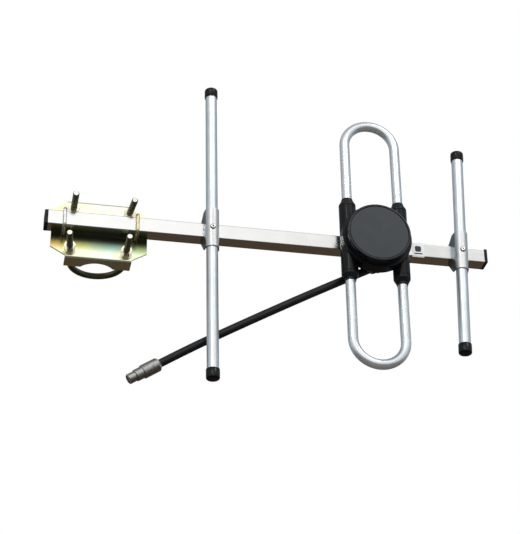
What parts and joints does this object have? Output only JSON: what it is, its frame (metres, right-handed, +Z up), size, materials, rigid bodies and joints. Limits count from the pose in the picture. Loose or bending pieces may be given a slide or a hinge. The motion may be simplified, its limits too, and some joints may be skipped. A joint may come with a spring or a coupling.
{
  "type": "folded dipole antenna",
  "caption": "Directional radio antenna: a straight reflector, a folded dipole with a round feed housing and a short director on a square boom, with a mast clamp and a coaxial lead.",
  "frame": {"origin": "on the axis of the mast that the clamp takes, level with the boom's centre line", "axes": "+X forwards along the boom towards the director, +Y from the boom to the mast, +Z up along the mast"},
  "size_m": [0.5745, 0.1252, 0.4306],
  "materials": {
    "boom_aluminium": "bright mill finish",
    "element_aluminium": "bright mill finish",
    "loop_aluminium": "bright drawn",
    "saddle_aluminium": "satin",
    "rivet_metal": "bright",
    "plug_plastic": "glossy black",
    "cap_plastic": "glossy black",
    "seal_rubber": "semi-gloss black",
    "housing_plastic": "semi-gloss black",
    "lid_plastic": "satin dark grey face with a glossy rim",
    "board_laminate": "green solder resist",
    "strap_brass": "plain",
    "screw_steel": "plated",
    "line_jacket": "brown jacket",
    "gland_plastic": "semi-gloss black",
    "cable_jacket": "semi-gloss black",
    "connector_metal": "dark nickel",
    "insulator_plastic": "white",
    "contact_brass": "gold plated",
    "plate_zinc": "yellow zinc plate",
    "bolt_zinc": "yellow zinc plate, threaded ends",
    "nut_zinc": "bright yellow zinc plate"
  },
  "bodies": {
    "root": {"boom": "boom_aluminium", "boom_plug_rear": "plug_plastic", "boom_plug_front": "plug_plastic", "reflector_tube": "element_aluminium", "reflector_cap_top": "cap_plastic", "reflector_cap_bottom": "cap_plastic", "reflector_saddle": "saddle_aluminium", "reflector_rivet": "rivet_metal", "director_tube": "element_aluminium", "director_cap_top": "cap_plastic", "director_cap_bottom": "cap_plastic", "director_saddle": "saddle_aluminium", "director_rivet": "rivet_metal", "dipole_loop": "loop_aluminium", "leg_seal_rear_upper": "seal_rubber", "leg_seal_rear_lower": "seal_rubber", "leg_seal_front_upper": "seal_rubber", "leg_seal_front_lower": "seal_rubber", "feed_housing": "housing_plastic", "lid_gasket": "seal_rubber", "feed_lid": "lid_plastic", "matching_board": "board_laminate", "board_screws": "screw_steel", "feed_strap_upper": "strap_brass", "feed_strap_lower": "strap_brass", "strap_screws": "screw_steel", "half_wave_line": "line_jacket", "housing_screws": "screw_steel", "gland_nut": "gland_plastic", "gland_seal": "seal_rubber", "cable_inner_end": "cable_jacket", "coax_cable": "cable_jacket", "connector_clamp_nut": "connector_metal", "connector_body": "connector_metal", "connector_insulator": "insulator_plastic", "connector_contact": "contact_brass", "clamp_plate": "plate_zinc", "mast_u_bolt_upper": "bolt_zinc", "mast_u_bolt_lower": "bolt_zinc", "mast_washers": "nut_zinc", "mast_spring_washers": "nut_zinc", "mast_nuts": "nut_zinc", "boom_u_bolt_rear": "bolt_zinc", "boom_u_bolt_front": "bolt_zinc", "boom_bolt_washers": "nut_zinc", "boom_bolt_nuts": "nut_zinc"}
  },
  "joints": []
}
